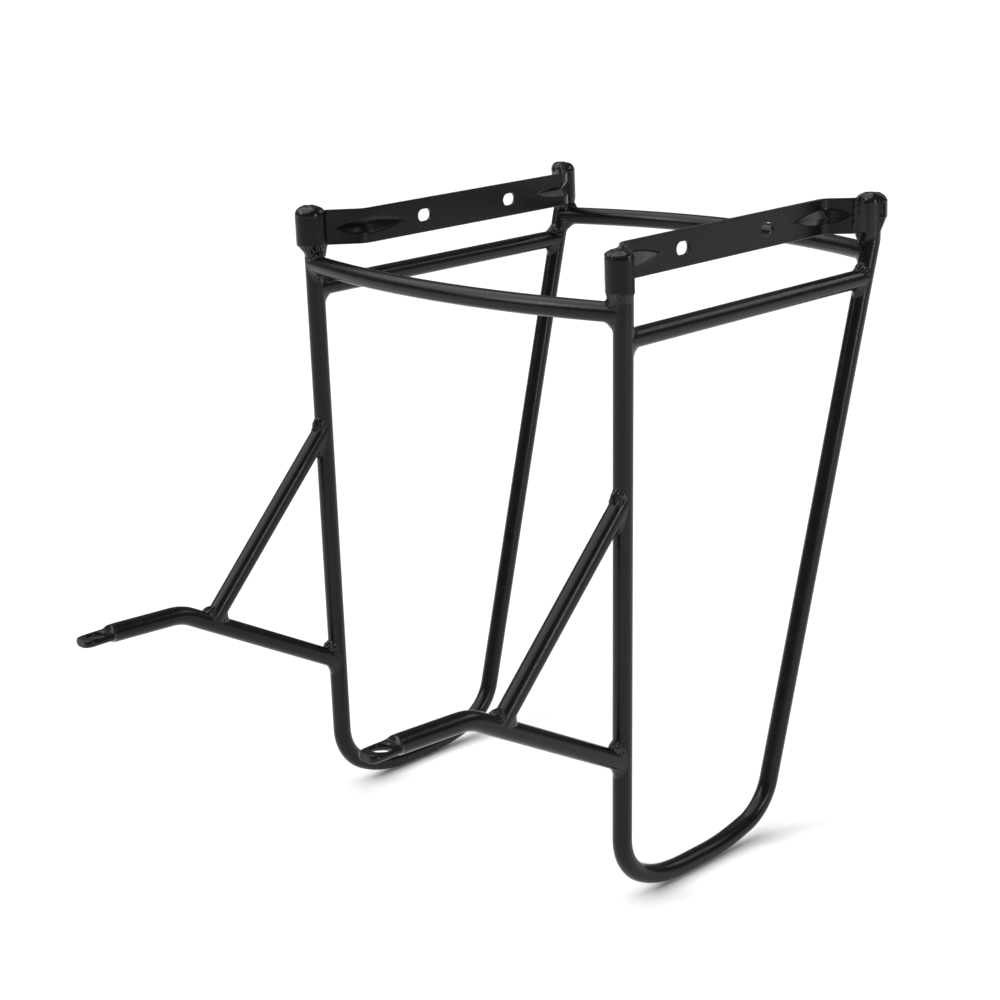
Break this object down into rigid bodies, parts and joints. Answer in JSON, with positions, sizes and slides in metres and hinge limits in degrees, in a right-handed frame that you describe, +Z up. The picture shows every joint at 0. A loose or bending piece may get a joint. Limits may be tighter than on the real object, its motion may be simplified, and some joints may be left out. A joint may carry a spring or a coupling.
{
  "type": "bicycle rear rack",
  "caption": "Welded round-tube bicycle rear rack with U-shaped side hoops, bowed cross bars, slotted strip rails and braced arms with bolt eyelets.",
  "frame": {"origin": "centre of the rack's footprint on the floor that its two hoops stand on", "axes": "+Z up, -Y forward along the arms to the fixing eyelets, +X to the right-hand hoop; the plane X = 0 is the plane of symmetry"},
  "size_m": [0.2448, 0.393, 0.3409],
  "materials": {
    "tube_coat": "satin black powder coat on round steel tube",
    "strip_coat": "satin black powder coat on flat steel strip",
    "weld_coat": "satin black powder coat over rippled weld beads"
  },
  "bodies": {
    "root": {"front_crossbar": "tube_coat", "left_arm_root_weld": "weld_coat", "left_arm_tube": "tube_coat", "left_crossbar_front_weld": "weld_coat", "left_crossbar_rear_weld": "weld_coat", "left_front_cap_weld": "weld_coat", "left_front_hook_weld": "weld_coat", "left_hoop_tube": "tube_coat", "left_mid_bar": "tube_coat", "left_mid_bar_front_weld": "weld_coat", "left_mid_bar_rear_weld": "weld_coat", "left_rear_cap_weld": "weld_coat", "left_rear_hook_weld": "weld_coat", "left_strut_foot_weld": "weld_coat", "left_strut_top_weld": "weld_coat", "left_strut_tube": "tube_coat", "left_top_rail": "strip_coat", "rear_crossbar": "tube_coat", "right_arm_root_weld": "weld_coat", "right_arm_tube": "tube_coat", "right_crossbar_front_weld": "weld_coat", "right_crossbar_rear_weld": "weld_coat", "right_front_cap_weld": "weld_coat", "right_front_hook_weld": "weld_coat", "right_hoop_tube": "tube_coat", "right_mid_bar": "tube_coat", "right_mid_bar_front_weld": "weld_coat", "right_mid_bar_rear_weld": "weld_coat", "right_rear_cap_weld": "weld_coat", "right_rear_hook_weld": "weld_coat", "right_strut_foot_weld": "weld_coat", "right_strut_top_weld": "weld_coat", "right_strut_tube": "tube_coat", "right_top_rail": "strip_coat"}
  },
  "joints": []
}
